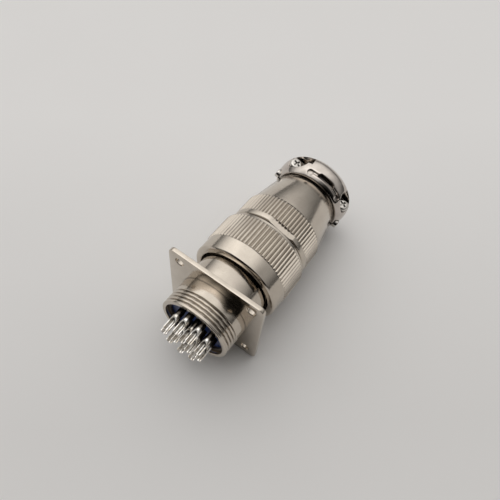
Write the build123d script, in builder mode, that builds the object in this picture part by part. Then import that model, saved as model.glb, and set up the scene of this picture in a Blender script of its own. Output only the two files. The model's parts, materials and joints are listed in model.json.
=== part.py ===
from build123d import *

import math
import os

os.makedirs("parts", exist_ok=True)

# Mated circular connector, in millimetres. X runs along the connector's axis, from the
# receptacle's solder cups towards the cable end of the plug. X = 0 is the face of the square
# flange that lies on the panel. Z points to the flange's top edge.

# Receptacle flange
flange_side = 38.0
flange_thickness = 1.6
flange_corner_radius = 2.2
flange_edge_break = 0.2
mounting_hole_spacing = 29.0
mounting_hole_diameter = 3.4

# Receptacle rear tube, behind the panel
rear_tube_length = 11.0
rear_thread_diameter = 27.0
rear_rim_land = 0.8
rear_thread_length = 5.7
rear_thread_pitch = 1.4
rear_thread_depth = 0.75
rear_tube_wall = 1.45
rear_rim_chamfer = 0.35

# Receptacle front barrel, which the coupling nut screws onto
front_barrel_length = 21.5
front_barrel_wall = 2.0
coupling_thread_pitch = 1.5
coupling_thread_depth = 0.65
coupling_thread_length = 9.0
keyway_width = 3.2
keyway_depth = 0.8

# Receptacle insulators and what holds them
rear_insulator_recess = 2.6
rear_insulator_thickness = 5.4
front_insulator_thickness = 7.0
insulator_stop_length = 1.0
insulator_fit = 0.1
retaining_ring_thickness = 0.9
retaining_ring_width = 0.9
retaining_groove_depth = 0.5
ring_groove_clearance = 0.05
gate_mark_diameter = 0.9
gate_mark_depth = 1.0
gate_mark_radius = 10.65
gate_mark_angle = 213.0

# Contacts: an outer ring of nine and an inner ring of three. The plug's sleeve is bored one edge
# distance outside the outer ring, and the sleeve, barrel and nut follow outwards from there.
outer_contact_count = 9
inner_contact_count = 3
outer_contact_radius = 7.4
inner_contact_radius = 3.2
first_contact_angle = 196.0
contact_edge_distance = 3.0
contact_hole_clearance = 0.05
cup_diameter = 2.5
cup_bore_diameter = 1.8
cup_length = 9.2
cup_bore_depth = 6.9
scoop_length = 5.1
scoop_floor_height = 0.25
scoop_ramp_length = 2.1
collar_diameter = 3.6
collar_thickness = 1.2
pin_diameter = 2.0
pin_reach = 9.0
pin_tip_chamfer = 0.5
socket_wall = 0.45
socket_bore_clearance = 0.05
socket_bore_depth = 9.5
socket_slot_width = 0.4
socket_slot_length = 6.0
socket_recess = 0.3

# Plug shell
sleeve_wall = 1.05
sleeve_clearance = 0.25
sleeve_front_gap = 0.5
sleeve_lip_height = 0.6
sleeve_lip_length = 0.8
key_clearance = 0.2
gasket_thickness = 1.0
gasket_gap = 0.1
shoulder_thickness = 2.2
plug_tube_wall = 2.7
plug_thread_relief = 0.1
plug_thread_length = 8.15
plug_front_insulator_length = 11.0
plug_rear_insulator_length = 9.0
socket_cup_length = 8.5

# Coupling nut
nut_face_gap = 9.8
nut_mouth_depth = 1.0
nut_mouth_step = 1.25
nut_rim_wall = 2.0
nut_band_length = 6.35
nut_knurl_height = 0.3
nut_rear_recess = 1.35
nut_rear_rim_length = 1.35
nut_edge_chamfer = 0.4
nut_thread_clearance = 0.25
nut_chamber_step = 0.75
nut_lip_thickness = 2.6
nut_lip_clearance = 0.08
nut_axial_play = 0.2
nut_ring_thickness = 1.0
nut_ring_overlap = 0.75

# Grooves of the straight knurls and of the threads, and how far a cut runs past what it cuts
knurl_groove_count = 72
knurl_groove_depth = 0.55
knurl_groove_width = 1.4
knurl_groove_overcut = 0.2
thread_groove_share = 0.84
groove_overcut = 0.05
cut_overrun = 0.5

# Backshell
backshell_wall = 3.05
backshell_front_gap = 0.5
backshell_collar_length = 2.65
backshell_knurl_length = 8.2
backshell_knurl_runout = 0.5
backshell_thread_clearance = 0.15
wrench_flat_depth = 0.6
cone_start_step = 0.45
cone_end_diameter = 25.2
cone_length = 16.1
cone_end_wall = 1.75
hook_groove_length = 0.9
hook_groove_depth = 0.75
end_rim_length = 1.6

# Cable clamp: its screw direction is turned from the flange's Z by clamp_clocking degrees
clamp_clocking = 17.0
clamp_crest_diameter = 31.5
clamp_front_diameter = 26.4
clamp_rear_diameter = 25.8
clamp_front_length = 5.9
clamp_rear_length = 4.3
clamp_seat_clearance = 0.15
clamp_split_gap = 0.8
cable_hole_diameter = 18.0
cable_hole_edge_radius = 1.2
clamp_screw_setback = 0.85
clamp_screw_spacing = 23.6
clamp_screw_seat_height = 6.2
clamp_screw_diameter = 3.0
clamp_screw_clearance = 0.1
clamp_screw_length = 11.0
clamp_screw_head_diameter = 5.3
clamp_screw_head_height = 1.8
clamp_screw_head_radius = 0.9
clamp_pocket_clearance = 0.45
clamp_pocket_rear_wall = 1.85
clamp_arch_width = 16.5
clamp_arch_offset = -1.1
cross_slot_width = 0.7
cross_slot_length = 2.8
cross_slot_depth = 0.9
window_width = 7.5
window_length = 1.5
window_corner_radius = 1.3
window_offset = 0.1
window_setback = 3.15
window_depth = 2.8
locating_screw_diameter = 1.2
locating_screw_clearance = 0.1
locating_screw_head_diameter = 2.8
locating_screw_head_height = 1.5
locating_screw_head_fillet = 0.5
locating_screw_seat_width = 28.0

# Stations along X, worked out from the sizes above
rear_face = -rear_tube_length
rear_insulator_face = rear_face + rear_insulator_recess
insulator_joint = rear_insulator_face + rear_insulator_thickness
insulator_stop = insulator_joint + front_insulator_thickness
receptacle_cavity = insulator_stop + insulator_stop_length
sleeve_front = receptacle_cavity + sleeve_front_gap
shoulder_front = front_barrel_length + gasket_gap + gasket_thickness
shoulder_rear = shoulder_front + shoulder_thickness
nut_front = flange_thickness + nut_face_gap
nut_thread_front = nut_front + nut_mouth_depth
nut_band_rear = nut_front + nut_band_length
nut_lip_front = shoulder_rear + nut_axial_play
nut_lip_rear = nut_lip_front + nut_lip_thickness
nut_ring_front = nut_lip_rear + nut_axial_play
nut_ring_rear = nut_ring_front + nut_ring_thickness
nut_rear = nut_ring_rear + nut_rear_recess
nut_knurl_rear = nut_rear - nut_rear_rim_length
backshell_front = nut_rear + backshell_front_gap
backshell_knurl_front = backshell_front + backshell_collar_length
backshell_knurl_rear = backshell_knurl_front + backshell_knurl_length
cone_front = backshell_knurl_rear + backshell_knurl_runout
cone_rear = cone_front + cone_length
plug_tube_rear = backshell_front + plug_thread_length
hook_rear = cone_rear + hook_groove_length
barrel_end = hook_rear + end_rim_length
clamp_front = cone_rear + clamp_seat_clearance
clamp_crest = clamp_front + clamp_front_length
clamp_rear = clamp_crest + clamp_rear_length
clamp_pocket_rear = clamp_rear - clamp_pocket_rear_wall
clamp_screw_station = clamp_crest - clamp_screw_setback
window_station = clamp_crest - window_setback
locating_screw_station = hook_rear + end_rim_length / 2

# Radii, worked out from the sizes above
rear_thread_radius = rear_thread_diameter / 2
rear_bore_radius = rear_thread_radius - rear_tube_wall
sleeve_bore_radius = outer_contact_radius + contact_edge_distance
sleeve_radius = sleeve_bore_radius + sleeve_wall
stop_radius = sleeve_bore_radius + sleeve_clearance
front_bore_radius = sleeve_radius + sleeve_clearance
front_barrel_radius = front_bore_radius + front_barrel_wall
nut_thread_radius = front_barrel_radius + nut_thread_clearance
nut_mouth_radius = nut_thread_radius + nut_mouth_step
nut_band_radius = nut_mouth_radius + nut_rim_wall
nut_knurl_radius = nut_band_radius + nut_knurl_height
nut_chamber_radius = nut_thread_radius + nut_chamber_step
shoulder_radius = nut_chamber_radius - nut_thread_clearance
plug_tube_radius = sleeve_bore_radius + plug_tube_wall
plug_thread_radius = plug_tube_radius - plug_thread_relief
nut_lip_radius = plug_tube_radius + nut_lip_clearance
nut_ring_radius = nut_lip_radius + nut_ring_overlap
nut_ring_groove_radius = plug_tube_radius - nut_ring_overlap
backshell_bore_radius = plug_tube_radius + backshell_thread_clearance
backshell_radius = backshell_bore_radius + backshell_wall
cone_start_radius = backshell_radius - cone_start_step
cone_end_radius = cone_end_diameter / 2
barrel_bore_radius = cone_end_radius - cone_end_wall
hook_groove_radius = cone_end_radius - hook_groove_depth
clamp_crest_radius = clamp_crest_diameter / 2
clamp_front_radius = clamp_front_diameter / 2
clamp_rear_radius = clamp_rear_diameter / 2
cable_hole_radius = cable_hole_diameter / 2
seat_radius = locating_screw_seat_width / 2
pin_radius = pin_diameter / 2
cup_radius = cup_diameter / 2
collar_radius = collar_diameter / 2
socket_bore_radius = pin_radius + socket_bore_clearance
socket_radius = socket_bore_radius + socket_wall

clamp_plane = Plane.XY.rotated((clamp_clocking, 0, 0))
clamp_up = Axis((0, 0, 0), clamp_plane.z_dir)


def contact_places():
    """Return the (y, z) centres of all contacts: the inner ring is turned by half an outer step."""
    half_step = 180 / outer_contact_count
    rings = (
        (outer_contact_count, outer_contact_radius, first_contact_angle),
        (inner_contact_count, inner_contact_radius, first_contact_angle + half_step),
    )
    places = []
    for count, radius, first_angle in rings:
        for number in range(count):
            angle = math.radians(first_angle + 360 * number / count)
            places.append((radius * math.cos(angle), radius * math.sin(angle)))
    return places


def turn(outline):
    """Revolve an outline of (station, radius) points about the connector's axis."""
    with BuildSketch(Plane.XY) as section:
        with BuildLine():
            Polyline(*outline, close=True)
        make_face()
    revolve(section.sketch, axis=Axis.X)


def bore(start, end, radius):
    """Cut a round bore on the connector's axis, from one station to another."""
    with BuildSketch(Plane.YZ.offset(start)) as section:
        Circle(radius)
    extrude(section.sketch, amount=end - start, mode=Mode.SUBTRACT)


def cut_thread(start, end, pitch, radius, depth):
    """Cut a row of V grooves into a turned wall: a negative depth cuts outwards."""
    half_width = pitch * thread_groove_share / 2
    mouth_radius = radius + math.copysign(groove_overcut, depth)
    with BuildSketch(Plane.XY) as section:
        for number in range(int((end - start) / pitch)):
            middle = start + pitch * (number + 0.5)
            with BuildLine():
                Polyline(
                    (middle - half_width, mouth_radius),
                    (middle, radius - depth),
                    (middle + half_width, mouth_radius),
                    close=True,
                )
            make_face()
    revolve(section.sketch, axis=Axis.X, mode=Mode.SUBTRACT)


def cut_knurl(start, end, radius):
    """Cut the straight knurl's V grooves into a turned wall."""
    half_width = knurl_groove_width / 2
    with BuildSketch(Plane.YZ.offset(start)) as section:
        with PolarLocations(radius, knurl_groove_count):
            Polygon(
                (-knurl_groove_depth, 0),
                (knurl_groove_overcut, -half_width),
                (knurl_groove_overcut, half_width),
                align=None,
            )
    extrude(section.sketch, amount=end - start, mode=Mode.SUBTRACT)


def drill_contacts(start, end, radius):
    """Drill one hole for each contact, from one station to another."""
    with BuildSketch(Plane.YZ.offset(start)) as section:
        with Locations(*contact_places()):
            Circle(radius)
    extrude(section.sketch, amount=end - start, mode=Mode.SUBTRACT)


def turn_contact(place, outline):
    """Revolve an outline of (station, radius) points about a contact's own axis."""
    y, z = place
    with BuildSketch(Plane((0, y, z), x_dir=(1, 0, 0), z_dir=(0, -1, 0))) as section:
        with BuildLine():
            Polyline(*outline, close=True)
        make_face()
    revolve(section.sketch, axis=Axis((0, y, z), (1, 0, 0)))


def scoop_cup(place, tip, direction):
    """Cut a solder cup open from its tip: direction is +1 or -1, from tip to root along X."""
    y, z = place
    ramp_start = tip + direction * (scoop_length - scoop_ramp_length)
    ramp_end = tip + direction * (scoop_length + scoop_ramp_length)
    ramp_height = 2 * cup_radius - scoop_floor_height
    outside = tip - direction * cut_overrun
    with BuildSketch(Plane((0, y, z), x_dir=(1, 0, 0), z_dir=(0, -1, 0))) as section:
        with BuildLine():
            Polyline(
                (outside, scoop_floor_height),
                (ramp_start, scoop_floor_height),
                (ramp_end, ramp_height),
                (outside, ramp_height),
                close=True,
            )
        make_face()
    extrude(section.sketch, amount=cup_diameter, both=True, mode=Mode.SUBTRACT)


def clamp_screw_places():
    """Return the places of the two clamp screws on the clamp's own plane, left one first."""
    return [
        (clamp_screw_station, clamp_screw_spacing / 2),
        (clamp_screw_station, -clamp_screw_spacing / 2),
    ]


def locating_screw_plane(direction):
    """Return the seat plane of a locating screw: direction is +1 on the left, -1 on the right."""
    outwards = clamp_plane.y_dir * direction
    return Plane(
        Vector(locating_screw_station, 0, 0) + outwards * seat_radius,
        x_dir=(1, 0, 0),
        z_dir=outwards,
    )


def turn_clamp_ring():
    """Revolve the rounded ring that both clamp halves are cut from."""
    lip_radius = hook_groove_radius + clamp_seat_clearance
    rim_radius = cone_end_radius + clamp_seat_clearance
    with BuildSketch(Plane.XY) as section:
        with BuildLine():
            TangentArc(
                (clamp_crest, clamp_crest_radius),
                (clamp_front, clamp_front_radius),
                tangent=(-1, 0),
            )
            TangentArc(
                (clamp_crest, clamp_crest_radius),
                (clamp_rear, clamp_rear_radius),
                tangent=(1, 0),
            )
            Polyline(
                (clamp_front, clamp_front_radius),
                (clamp_front, lip_radius),
                (hook_rear - clamp_seat_clearance, lip_radius),
                (hook_rear - clamp_seat_clearance, rim_radius),
                (barrel_end + clamp_seat_clearance, rim_radius),
                (barrel_end + clamp_seat_clearance, cable_hole_radius),
                (clamp_rear - cable_hole_edge_radius, cable_hole_radius),
            )
            RadiusArc(
                (clamp_rear - cable_hole_edge_radius, cable_hole_radius),
                (clamp_rear, cable_hole_radius + cable_hole_edge_radius),
                cable_hole_edge_radius,
            )
            Line(
                (clamp_rear, cable_hole_radius + cable_hole_edge_radius),
                (clamp_rear, clamp_rear_radius),
            )
        make_face()
    revolve(section.sketch, axis=Axis.X)


def drill_for_clamp_screws(start, end):
    """Drill the two clamp screw holes, from one height over the split to another."""
    with BuildSketch(clamp_plane.offset(start)) as section:
        with Locations(*clamp_screw_places()):
            Circle(clamp_screw_diameter / 2 + clamp_screw_clearance)
    extrude(section.sketch, amount=end - start, mode=Mode.SUBTRACT)


def drill_for_locating_screws():
    """Cut the seats and the holes of the two locating screws."""
    for direction in (1, -1):
        seat = locating_screw_plane(direction)
        with BuildSketch(seat) as head:
            Circle(locating_screw_head_diameter / 2 + locating_screw_clearance)
        extrude(head.sketch, amount=clamp_crest_radius - seat_radius, mode=Mode.SUBTRACT)
        with BuildSketch(seat) as shank:
            Circle(locating_screw_diameter / 2 + locating_screw_clearance / 2)
        extrude(shank.sketch, amount=barrel_bore_radius - cut_overrun - seat_radius, mode=Mode.SUBTRACT)


def save(builder, label):
    """Label a finished piece and write it to its own file."""
    builder.part.label = label
    export_step(builder.part, f"parts/{label}.step")


# Receptacle shell: rear tube, flange and front barrel in one piece
with BuildPart() as receptacle_shell:
    with BuildSketch(Plane.YZ):
        RectangleRounded(flange_side, flange_side, flange_corner_radius)
        with GridLocations(mounting_hole_spacing, mounting_hole_spacing, 2, 2):
            Circle(mounting_hole_diameter / 2, mode=Mode.SUBTRACT)
    extrude(amount=flange_thickness)
    rims = receptacle_shell.faces().filter_by(Axis.X).edges().filter_by(GeomType.LINE)
    chamfer(rims, flange_edge_break)
    turn(
        (
            (rear_face, 0),
            (rear_face, rear_thread_radius - rear_rim_chamfer),
            (rear_face + rear_rim_chamfer, rear_thread_radius),
            (flange_thickness / 2, rear_thread_radius),
            (flange_thickness / 2, front_barrel_radius),
            (front_barrel_length - coupling_thread_depth, front_barrel_radius),
            (front_barrel_length, front_barrel_radius - coupling_thread_depth),
            (front_barrel_length, 0),
        )
    )
    bore(rear_face, insulator_stop, rear_bore_radius)
    bore(insulator_stop, receptacle_cavity, stop_radius)
    bore(receptacle_cavity, front_barrel_length, front_bore_radius)
    bore(
        rear_insulator_face - retaining_ring_thickness,
        rear_insulator_face,
        rear_bore_radius + retaining_groove_depth,
    )
    with BuildSketch(Plane.YZ.offset(receptacle_cavity)):
        with Locations((0, front_bore_radius)):
            Rectangle(keyway_width, 2 * keyway_depth)
    extrude(amount=front_barrel_length - receptacle_cavity, mode=Mode.SUBTRACT)
    cut_thread(
        rear_face + rear_rim_land,
        rear_face + rear_rim_land + rear_thread_length,
        rear_thread_pitch,
        rear_thread_radius,
        rear_thread_depth,
    )
    cut_thread(
        front_barrel_length - coupling_thread_length,
        front_barrel_length - coupling_thread_depth,
        coupling_thread_pitch,
        front_barrel_radius,
        coupling_thread_depth,
    )
save(receptacle_shell, "receptacle_shell")

# Rear insulator disc, with a pocket for each contact collar on its front side
with BuildPart() as receptacle_rear_insulator:
    with BuildSketch(Plane.YZ.offset(rear_insulator_face)):
        Circle(rear_bore_radius - insulator_fit)
    extrude(amount=rear_insulator_thickness)
    drill_contacts(rear_insulator_face, insulator_joint, cup_radius + contact_hole_clearance)
    drill_contacts(
        insulator_joint - collar_thickness - contact_hole_clearance,
        insulator_joint,
        collar_radius + contact_hole_clearance,
    )
    with BuildSketch(Plane.YZ.offset(rear_insulator_face)):
        with PolarLocations(gate_mark_radius, 1, start_angle=gate_mark_angle):
            Circle(gate_mark_diameter / 2)
    extrude(amount=gate_mark_depth, mode=Mode.SUBTRACT)
save(receptacle_rear_insulator, "receptacle_rear_insulator")

# Front insulator disc, whose boss passes through the shell's stop
with BuildPart() as receptacle_front_insulator:
    turn(
        (
            (insulator_joint, 0),
            (insulator_joint, rear_bore_radius - insulator_fit),
            (insulator_stop, rear_bore_radius - insulator_fit),
            (insulator_stop, stop_radius - insulator_fit),
            (receptacle_cavity, stop_radius - insulator_fit),
            (receptacle_cavity, 0),
        )
    )
    drill_contacts(insulator_joint, receptacle_cavity, pin_radius + contact_hole_clearance)
save(receptacle_front_insulator, "receptacle_front_insulator")

# Ring in the rear bore's groove, behind the rear insulator
with BuildPart() as receptacle_retaining_ring:
    turn(
        (
            (rear_insulator_face - retaining_ring_thickness, rear_bore_radius - retaining_ring_width),
            (
                rear_insulator_face - retaining_ring_thickness,
                rear_bore_radius + retaining_groove_depth - ring_groove_clearance,
            ),
            (rear_insulator_face, rear_bore_radius + retaining_groove_depth - ring_groove_clearance),
            (rear_insulator_face, rear_bore_radius - retaining_ring_width),
        )
    )
save(receptacle_retaining_ring, "receptacle_retaining_ring")

# Pin contacts: solder cup, collar between the two discs, and pin
cup_tip = rear_insulator_face - cup_length
pin_tip = receptacle_cavity + pin_reach
for number, place in enumerate(contact_places(), start=1):
    with BuildPart() as pin_contact:
        turn_contact(
            place,
            (
                (cup_tip, cup_bore_diameter / 2),
                (cup_tip, cup_radius),
                (insulator_joint - collar_thickness, cup_radius),
                (insulator_joint - collar_thickness, collar_radius),
                (insulator_joint, collar_radius),
                (insulator_joint, pin_radius),
                (pin_tip - pin_tip_chamfer, pin_radius),
                (pin_tip, pin_radius - pin_tip_chamfer),
                (pin_tip, 0),
                (cup_tip + cup_bore_depth, 0),
                (cup_tip + cup_bore_depth, cup_bore_diameter / 2),
            ),
        )
        scoop_cup(place, cup_tip, 1)
    save(pin_contact, f"pin_contact_{number:02d}")

# Plug shell: sleeve with key, shoulder for the nut, and threaded rear tube
plug_insulator_front = sleeve_front + sleeve_lip_length
plug_insulator_joint = plug_insulator_front + plug_front_insulator_length
plug_insulator_rear = plug_insulator_joint + plug_rear_insulator_length
with BuildPart() as plug_shell:
    turn(
        (
            (sleeve_front, sleeve_bore_radius - sleeve_lip_height),
            (sleeve_front, sleeve_radius),
            (shoulder_front, sleeve_radius),
            (shoulder_front, shoulder_radius),
            (shoulder_rear, shoulder_radius),
            (shoulder_rear, plug_tube_radius),
            (nut_ring_front, plug_tube_radius),
            (nut_ring_front, nut_ring_groove_radius),
            (nut_ring_rear, nut_ring_groove_radius),
            (nut_ring_rear, plug_tube_radius),
            (backshell_front, plug_tube_radius),
            (backshell_front, plug_thread_radius),
            (plug_tube_rear, plug_thread_radius),
            (plug_tube_rear, sleeve_bore_radius),
            (plug_insulator_front, sleeve_bore_radius),
            (plug_insulator_front, sleeve_bore_radius - sleeve_lip_height),
        )
    )
    with BuildSketch(Plane.YZ.offset(plug_insulator_rear)):
        Circle(sleeve_bore_radius + retaining_groove_depth)
        Circle(sleeve_bore_radius - retaining_ring_width, mode=Mode.SUBTRACT)
    extrude(amount=retaining_ring_thickness, mode=Mode.SUBTRACT)
    with BuildSketch(Plane.YZ.offset(plug_insulator_front)):
        with Locations((0, sleeve_radius)):
            Rectangle(keyway_width - 2 * key_clearance, 2 * (keyway_depth - key_clearance))
        Circle(sleeve_bore_radius, mode=Mode.SUBTRACT)
    extrude(amount=shoulder_front - plug_insulator_front)
    cut_thread(
        backshell_front,
        plug_tube_rear,
        coupling_thread_pitch,
        plug_thread_radius,
        coupling_thread_depth,
    )
save(plug_shell, "plug_shell")

# Front plug insulator, with a hole for each socket barrel
with BuildPart() as plug_front_insulator:
    with BuildSketch(Plane.YZ.offset(plug_insulator_front)):
        Circle(sleeve_bore_radius - insulator_fit)
    extrude(amount=plug_front_insulator_length)
    drill_contacts(plug_insulator_front, plug_insulator_joint, socket_radius + contact_hole_clearance)
save(plug_front_insulator, "plug_front_insulator")

# Rear plug insulator, with a pocket for each contact collar
with BuildPart() as plug_rear_insulator:
    with BuildSketch(Plane.YZ.offset(plug_insulator_joint)):
        Circle(sleeve_bore_radius - insulator_fit)
    extrude(amount=plug_rear_insulator_length)
    drill_contacts(plug_insulator_joint, plug_insulator_rear, cup_radius + contact_hole_clearance)
    drill_contacts(
        plug_insulator_joint,
        plug_insulator_joint + collar_thickness + contact_hole_clearance,
        collar_radius + contact_hole_clearance,
    )
save(plug_rear_insulator, "plug_rear_insulator")

# Ring in the plug bore's groove, behind the rear insulator
with BuildPart() as plug_retaining_ring:
    turn(
        (
            (plug_insulator_rear, sleeve_bore_radius - retaining_ring_width),
            (plug_insulator_rear, sleeve_bore_radius + retaining_groove_depth - ring_groove_clearance),
            (
                plug_insulator_rear + retaining_ring_thickness,
                sleeve_bore_radius + retaining_groove_depth - ring_groove_clearance,
            ),
            (
                plug_insulator_rear + retaining_ring_thickness,
                sleeve_bore_radius - retaining_ring_width,
            ),
        )
    )
save(plug_retaining_ring, "plug_retaining_ring")

# Socket contacts: slotted socket, collar, and solder cup inside the backshell
socket_mouth = plug_insulator_front + socket_recess
socket_cup_tip = plug_insulator_rear + socket_cup_length
for number, place in enumerate(contact_places(), start=1):
    with BuildPart() as socket_contact:
        turn_contact(
            place,
            (
                (socket_mouth, socket_bore_radius),
                (socket_mouth, socket_radius),
                (plug_insulator_joint, socket_radius),
                (plug_insulator_joint, collar_radius),
                (plug_insulator_joint + collar_thickness, collar_radius),
                (plug_insulator_joint + collar_thickness, cup_radius),
                (socket_cup_tip, cup_radius),
                (socket_cup_tip, cup_bore_diameter / 2),
                (socket_cup_tip - cup_bore_depth, cup_bore_diameter / 2),
                (socket_cup_tip - cup_bore_depth, 0),
                (socket_mouth + socket_bore_depth, 0),
                (socket_mouth + socket_bore_depth, socket_bore_radius),
            ),
        )
        scoop_cup(place, socket_cup_tip, -1)
        with BuildSketch(Plane.YZ.offset(socket_mouth)):
            with Locations(place):
                Rectangle(2 * cup_diameter, socket_slot_width)
        extrude(amount=socket_slot_length, mode=Mode.SUBTRACT)
    save(socket_contact, f"socket_contact_{number:02d}")

# Rubber ring between the receptacle's front face and the plug's shoulder
with BuildPart() as coupling_gasket:
    with BuildSketch(Plane.YZ.offset(shoulder_front - gasket_thickness)):
        Circle(front_barrel_radius - coupling_thread_depth - insulator_fit)
        Circle(sleeve_radius + insulator_fit, mode=Mode.SUBTRACT)
        with Locations((0, sleeve_radius)):
            Rectangle(keyway_width, 2 * keyway_depth, mode=Mode.SUBTRACT)
    extrude(amount=gasket_thickness)
save(coupling_gasket, "coupling_gasket")

# Ring in the plug shell's groove, behind the nut's inner lip
with BuildPart() as nut_retaining_ring:
    turn(
        (
            (nut_ring_front, nut_ring_groove_radius + ring_groove_clearance),
            (nut_ring_front, nut_ring_radius),
            (nut_ring_rear, nut_ring_radius),
            (nut_ring_rear, nut_ring_groove_radius + ring_groove_clearance),
        )
    )
save(nut_retaining_ring, "nut_retaining_ring")

# Coupling nut
nut_recess_radius = nut_ring_radius + nut_ring_overlap
nut_rear_radius = nut_band_radius - nut_edge_chamfer
with BuildPart() as coupling_nut:
    turn(
        (
            (nut_front, nut_mouth_radius),
            (nut_front, nut_band_radius - nut_edge_chamfer),
            (nut_front + nut_edge_chamfer, nut_band_radius),
            (nut_band_rear, nut_band_radius),
            (nut_band_rear, nut_knurl_radius),
            (nut_knurl_rear, nut_knurl_radius),
            (nut_knurl_rear + nut_edge_chamfer, nut_rear_radius),
            (nut_rear, nut_rear_radius),
            (nut_rear, nut_recess_radius),
            (nut_lip_rear, nut_recess_radius),
            (nut_lip_rear, nut_lip_radius),
            (nut_lip_front, nut_lip_radius),
            (nut_lip_front, nut_chamber_radius),
            (front_barrel_length, nut_chamber_radius),
            (front_barrel_length, nut_thread_radius),
            (nut_thread_front + coupling_thread_depth, nut_thread_radius),
            (nut_thread_front, nut_thread_radius + coupling_thread_depth),
            (nut_thread_front, nut_mouth_radius),
        )
    )
    cut_thread(
        nut_thread_front + coupling_thread_depth,
        front_barrel_length,
        coupling_thread_pitch,
        nut_thread_radius,
        -coupling_thread_depth,
    )
    cut_knurl(nut_band_rear, nut_knurl_rear + nut_edge_chamfer, nut_knurl_radius)
save(coupling_nut, "coupling_nut")

# Backshell: collar with wrench flats, knurl, cone, hook groove and end rim
with BuildPart() as backshell:
    turn(
        (
            (backshell_front, backshell_bore_radius),
            (backshell_front, backshell_radius - nut_edge_chamfer),
            (backshell_front + nut_edge_chamfer, backshell_radius),
            (backshell_knurl_rear, backshell_radius),
            (cone_front, cone_start_radius),
            (cone_rear, cone_end_radius),
            (cone_rear, hook_groove_radius),
            (hook_rear, hook_groove_radius),
            (hook_rear, cone_end_radius),
            (barrel_end, cone_end_radius),
            (barrel_end, barrel_bore_radius),
            (cone_rear, barrel_bore_radius),
            (cone_front, backshell_bore_radius),
        )
    )
    cut_knurl(backshell_knurl_front, cone_front, backshell_radius)
    for side in (1, -1):
        flat_plane = clamp_plane.offset(side * (backshell_radius - wrench_flat_depth))
        with BuildSketch(flat_plane):
            with Locations((backshell_front + backshell_collar_length / 2, 0)):
                Rectangle(backshell_collar_length, 2 * backshell_radius)
        extrude(amount=side * (wrench_flat_depth + cut_overrun), mode=Mode.SUBTRACT)
    cut_thread(
        backshell_front + nut_edge_chamfer,
        plug_tube_rear,
        coupling_thread_pitch,
        backshell_bore_radius,
        -coupling_thread_depth,
    )
    drill_for_locating_screws()
save(backshell, "backshell")

# Upper clamp half: arch with a window, between two screw pockets
with BuildPart() as clamp_upper_half:
    turn_clamp_ring()
    split(bisect_by=clamp_plane.offset(clamp_split_gap / 2), keep=Keep.TOP)
    drill_for_clamp_screws(0, clamp_screw_seat_height)
    with BuildSketch(clamp_plane.offset(clamp_screw_seat_height)):
        with Locations(*clamp_screw_places()):
            Circle(clamp_screw_head_diameter / 2 + clamp_pocket_clearance)
        for side in (1, -1):
            with Locations((clamp_screw_station, clamp_arch_offset + side * clamp_arch_width / 2)):
                Rectangle(
                    clamp_pocket_rear - clamp_screw_station,
                    clamp_crest_radius,
                    align=(Align.MIN, Align.MIN if side > 0 else Align.MAX),
                )
    extrude(amount=clamp_crest_radius, mode=Mode.SUBTRACT)
    with BuildSketch(clamp_plane.offset(clamp_crest_radius - window_depth)):
        with Locations((window_station + window_length / 2, clamp_arch_offset + window_offset)):
            window = Rectangle(window_length, window_width)
        fillet(window.vertices().group_by(Axis.X)[-1], window_corner_radius)
    extrude(amount=window_depth, mode=Mode.SUBTRACT)
    drill_for_locating_screws()
save(clamp_upper_half, "clamp_upper_half")

# Lower clamp half, which the clamp screws are screwed into
with BuildPart() as clamp_lower_half:
    turn_clamp_ring()
    split(bisect_by=clamp_plane.offset(-clamp_split_gap / 2), keep=Keep.BOTTOM)
    drill_for_clamp_screws(
        clamp_screw_seat_height - clamp_screw_length - clamp_screw_clearance,
        0,
    )
    drill_for_locating_screws()
save(clamp_lower_half, "clamp_lower_half")

# Clamp screws, with a domed head and a cross recess
for side, place in zip(("left", "right"), clamp_screw_places()):
    with BuildPart() as clamp_screw:
        with BuildSketch(clamp_plane.offset(clamp_screw_seat_height)):
            with Locations(place):
                Circle(clamp_screw_head_diameter / 2)
        extrude(amount=clamp_screw_head_height)
        fillet(clamp_screw.edges().sort_by(clamp_up)[-1], clamp_screw_head_radius)
        with BuildSketch(clamp_plane.offset(clamp_screw_seat_height)):
            with Locations(place):
                Circle(clamp_screw_diameter / 2)
        extrude(amount=-clamp_screw_length)
        with BuildSketch(
            clamp_plane.offset(clamp_screw_seat_height + clamp_screw_head_height - cross_slot_depth)
        ):
            with Locations(place):
                Rectangle(cross_slot_length, cross_slot_width)
                Rectangle(cross_slot_width, cross_slot_length)
        extrude(amount=cross_slot_depth, mode=Mode.SUBTRACT)
    save(clamp_screw, f"clamp_screw_{side}")

# Small screws that hold the clamp halves in line with the barrel's end rim
for side, direction in (("left", 1), ("right", -1)):
    seat = locating_screw_plane(direction)
    with BuildPart() as locating_screw:
        with BuildSketch(seat):
            Circle(locating_screw_head_diameter / 2)
        extrude(amount=locating_screw_head_height)
        outwards = Axis(seat.origin, seat.z_dir)
        fillet(locating_screw.edges().sort_by(outwards)[-1], locating_screw_head_fillet)
        with BuildSketch(seat):
            Circle(locating_screw_diameter / 2)
        extrude(amount=barrel_bore_radius - seat_radius)
    save(locating_screw, f"locating_screw_{side}")
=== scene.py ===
# %% [markdown]
# # A circular connector, dressed for its portrait
#
# The part is a mated pair of metal connectors: a receptacle with a square flange and silver
# solder cups, and a cable plug held on it by a knurled nut. The solid model already has every
# piece in its place. This lesson gives each piece the surface that the eye expects.

# %% Load the frame
import json
import math

import bmesh
import bpy
from mathutils import Matrix, Vector


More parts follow.
